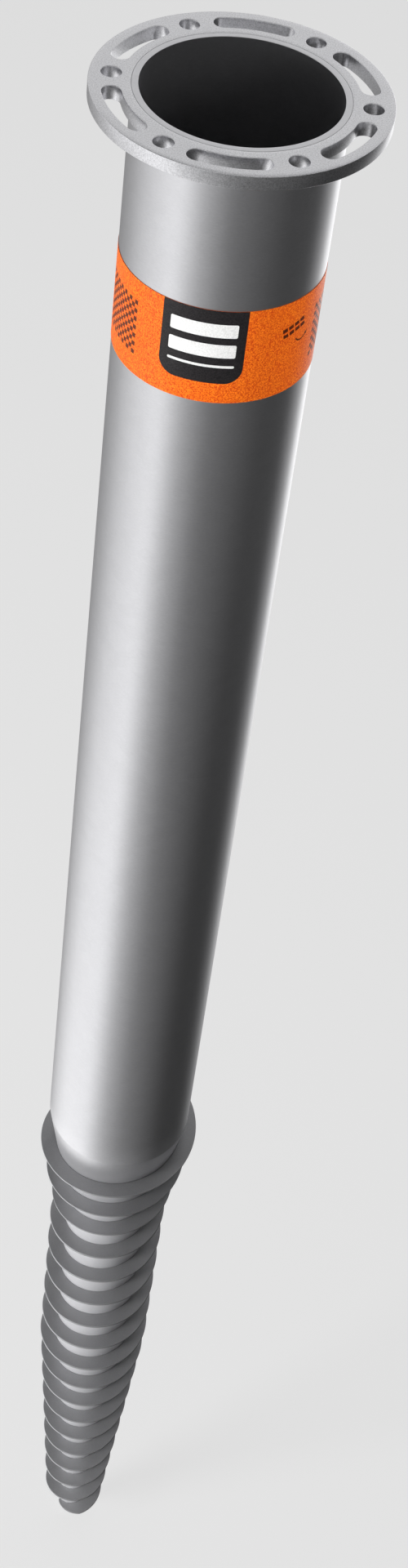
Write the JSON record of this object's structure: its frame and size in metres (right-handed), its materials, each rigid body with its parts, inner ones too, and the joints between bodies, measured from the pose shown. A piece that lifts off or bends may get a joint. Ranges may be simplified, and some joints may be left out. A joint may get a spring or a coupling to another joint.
{
  "type": "foundation ground screw",
  "caption": "Hollow steel ground screw: a straight tube forged down to a tapered point, a welded helical thread flight and a round bolting flange with holes and arc slots.",
  "frame": {"origin": "centre of the flange's top face, on the screw's axis", "axes": "+Z along the axis, up out of the ground; the point is at -Z; +X through one of the round bolt holes, and -Y through an arc slot"},
  "size_m": [0.159, 0.159, 1.685],
  "materials": {
    "galvanised_tube": "hot-dip galvanised, satin",
    "galvanised_plate": "hot-dip galvanised, fine matt grain",
    "galvanised_weld": "hot-dip galvanised weld bead",
    "galvanised_flight": "hot-dip galvanised strip, satin",
    "label_film": "orange printed adhesive film, semi-gloss"
  },
  "bodies": {
    "root": {"shaft": "galvanised_tube", "flange_plate": "galvanised_plate", "flange_weld": "galvanised_weld", "thread_flight": "galvanised_flight", "label_band": "label_film"}
  },
  "joints": []
}
